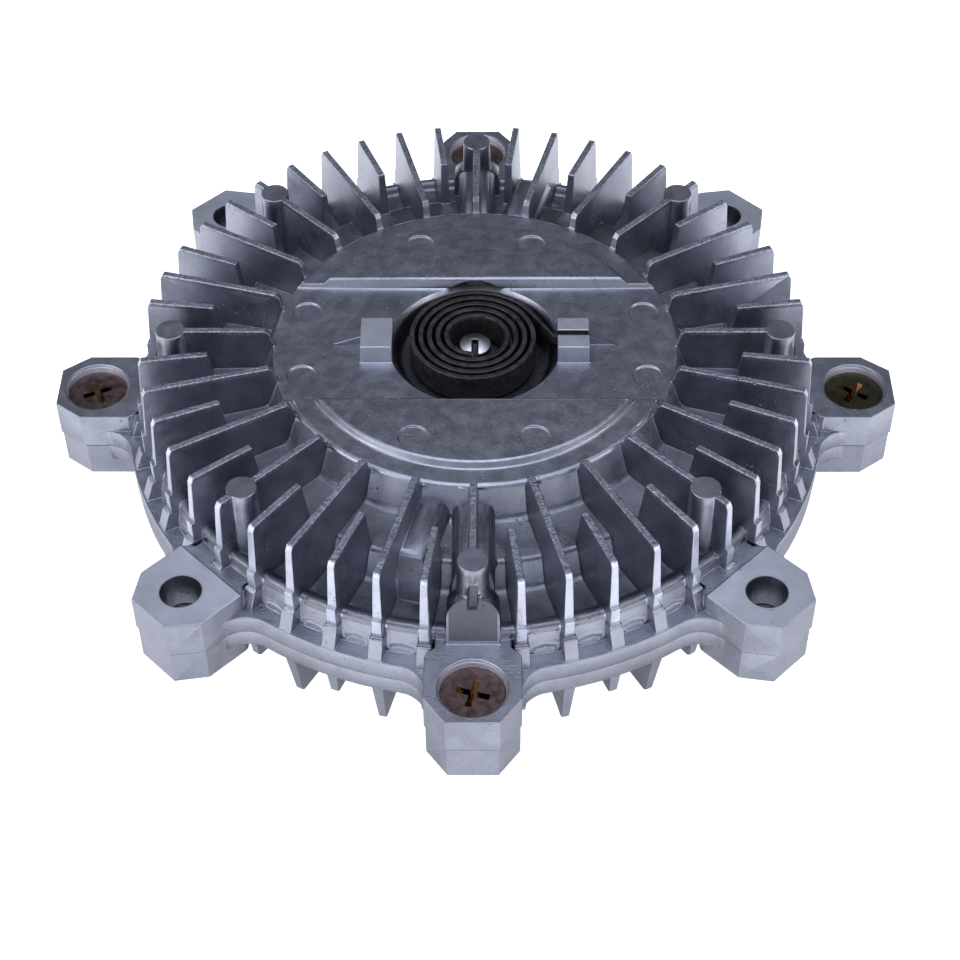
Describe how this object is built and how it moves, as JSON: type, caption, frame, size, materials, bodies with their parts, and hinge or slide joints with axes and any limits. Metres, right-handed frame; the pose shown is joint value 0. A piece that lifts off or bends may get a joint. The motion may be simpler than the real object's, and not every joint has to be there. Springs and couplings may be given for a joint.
{
  "type": "viscous fan clutch",
  "caption": "Round finned die-cast fan clutch with mounting ears round its rim, a bimetal spiral at its front and a drive flange at its back.",
  "frame": {"origin": "centre of the water-pump flange's rear face, on the clutch's axis", "axes": "+Z runs along the shaft from the pump flange to the bimetal coil; +X points at the ear next to the slotted coil holder; the part stands on its flange"},
  "size_m": [0.1762, 0.1762, 0.0624],
  "materials": {
    "cast_aluminium": "bare die-cast aluminium, grey, with a fine cast grain; ear faces machined",
    "machined_aluminium": "turned aluminium",
    "turned_steel": "turned steel, lightly oiled",
    "bearing_steel": "ground and polished bearing steel",
    "cage_steel": "pressed steel",
    "plate_steel": "pressed steel sheet",
    "spring_steel": "phosphated spring steel",
    "screw_steel": "dark brown phosphated steel",
    "zinc_plated_steel": "turned steel, zinc plated",
    "seal_rubber": "black nitrile rubber",
    "bimetal_strip": "heat-blackened bimetal strip"
  },
  "bodies": {
    "shaft": {"drive_shaft": "turned_steel", "rotor_disc": "machined_aluminium", "rotor_spacer": "turned_steel", "rotor_washer": "turned_steel", "rotor_nut": "turned_steel", "bearing_inner_ring": "bearing_steel"},
    "housing": {"rear_case": "cast_aluminium", "front_cover": "cast_aluminium", "cover_seal_ring": "seal_rubber", "cover_screw_1": "screw_steel", "cover_screw_2": "screw_steel", "cover_screw_3": "screw_steel", "cover_screw_4": "screw_steel", "bearing_outer_ring": "bearing_steel", "bearing_seal_rear": "seal_rubber", "bearing_seal_front": "seal_rubber", "bearing_retaining_ring": "spring_steel", "partition_plate": "plate_steel", "partition_rivets": "machined_aluminium"},
    "cage": {"bearing_balls": "bearing_steel", "bearing_cage": "cage_steel"},
    "valve": {"valve_shaft": "zinc_plated_steel", "valve_arm": "spring_steel", "valve_shaft_o_ring": "seal_rubber", "valve_shaft_clip": "spring_steel", "bimetal_coil": "bimetal_strip"}
  },
  "joints": [
    {"name": "housing_spin", "type": "hinge", "parent": "shaft", "child": "housing", "pos_m": [0, 0, 0.0235], "axis": [0, 0, 1], "continuous": true},
    {"name": "cage_spin", "type": "hinge", "parent": "shaft", "child": "cage", "pos_m": [0, 0, 0.0235], "axis": [0, 0, 1], "continuous": true},
    {"name": "valve_turn", "type": "hinge", "parent": "housing", "child": "valve", "pos_m": [0, 0, 0.05], "axis": [0, 0, 1], "range_deg": [0, 30], "deforming": ["bimetal_coil"]}
  ],
  "couplings": [
    {"joint": "cage_spin", "follows": "housing_spin", "ratio": 0.6184}
  ]
}
